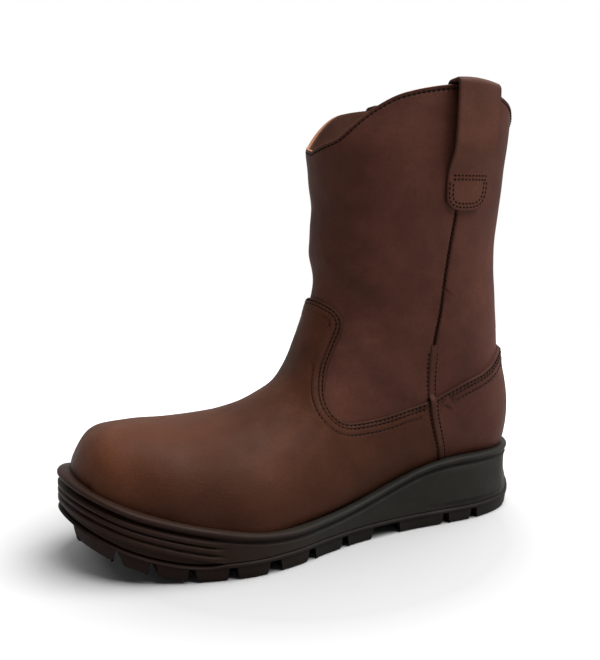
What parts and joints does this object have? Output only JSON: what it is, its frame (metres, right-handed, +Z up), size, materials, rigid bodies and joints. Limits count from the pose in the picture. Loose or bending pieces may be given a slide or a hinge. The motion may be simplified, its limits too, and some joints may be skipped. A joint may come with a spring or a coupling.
{
  "type": "steel toe work boot",
  "caption": "Left pull-on work boot: mid-calf leather upper with rounded steel toe, pull straps over the collar, deep cup midsole with rolled lip and lugged outsole with heel.",
  "frame": {"origin": "on the ground under the middle of the bounding box: the sole's rest plane is z = 0", "axes": "+X from heel to toe, +Y towards the boot's outer side, +Z up"},
  "size_m": [0.3125, 0.1299, 0.2849],
  "materials": {
    "outsole": "moulded, matte",
    "midsole": "moulded foam, fine texture, matte",
    "steel_shank": "plain",
    "insole_board": "fibre board",
    "steel_toe_cap": "plain",
    "toe_cap_edge_strip": "matte",
    "leather": "oiled, smooth, satin",
    "leather_strip": "oiled, smooth, satin",
    "stiffener": "matte",
    "lining": "woven mesh",
    "heel_lining": "napped",
    "facing": "smooth, worn",
    "footbed": "foam, matte",
    "footbed_cover": "knit"
  },
  "bodies": {
    "boot": {"outsole": "outsole", "midsole": "midsole", "steel_shank": "steel_shank", "insole_board": "insole_board", "steel_toe_cap": "steel_toe_cap", "toe_cap_edge_strip": "toe_cap_edge_strip", "vamp": "leather", "heel_cover": "leather", "heel_stiffener": "stiffener", "shaft_front": "leather", "shaft_back": "leather", "side_seam_strip_left": "leather_strip", "side_seam_strip_right": "leather_strip", "pull_strap_left_tab": "leather", "pull_strap_left_inner_end": "leather", "pull_strap_right_tab": "leather", "pull_strap_right_inner_end": "leather", "vamp_lining": "lining", "heel_lining": "heel_lining", "shaft_lining": "lining", "collar_facing": "facing"},
    "footbed": {"footbed": "footbed", "footbed_cover": "footbed_cover"},
    "pull_strap_left": {"pull_strap_left_loop": "leather"},
    "pull_strap_right": {"pull_strap_right_loop": "leather"}
  },
  "joints": [
    {"name": "footbed_lift", "type": "hinge", "parent": "boot", "child": "footbed", "pos_m": [0.13045, -0.00105, 0.0331], "axis": [0, 1, 0], "range_deg": [0, 9]},
    {"name": "pull_strap_left_flex", "type": "hinge", "parent": "boot", "child": "pull_strap_left", "pos_m": [-0.09575, 0.05157, 0.2284], "axis": [-0.9883, -0.1524, 0], "range_deg": [0, 12], "stiffness_Nm_per_rad": 0.03},
    {"name": "pull_strap_right_flex", "type": "hinge", "parent": "boot", "child": "pull_strap_right", "pos_m": [-0.09575, -0.05367, 0.2284], "axis": [0.9883, -0.1524, 0], "range_deg": [0, 12], "stiffness_Nm_per_rad": 0.03}
  ]
}
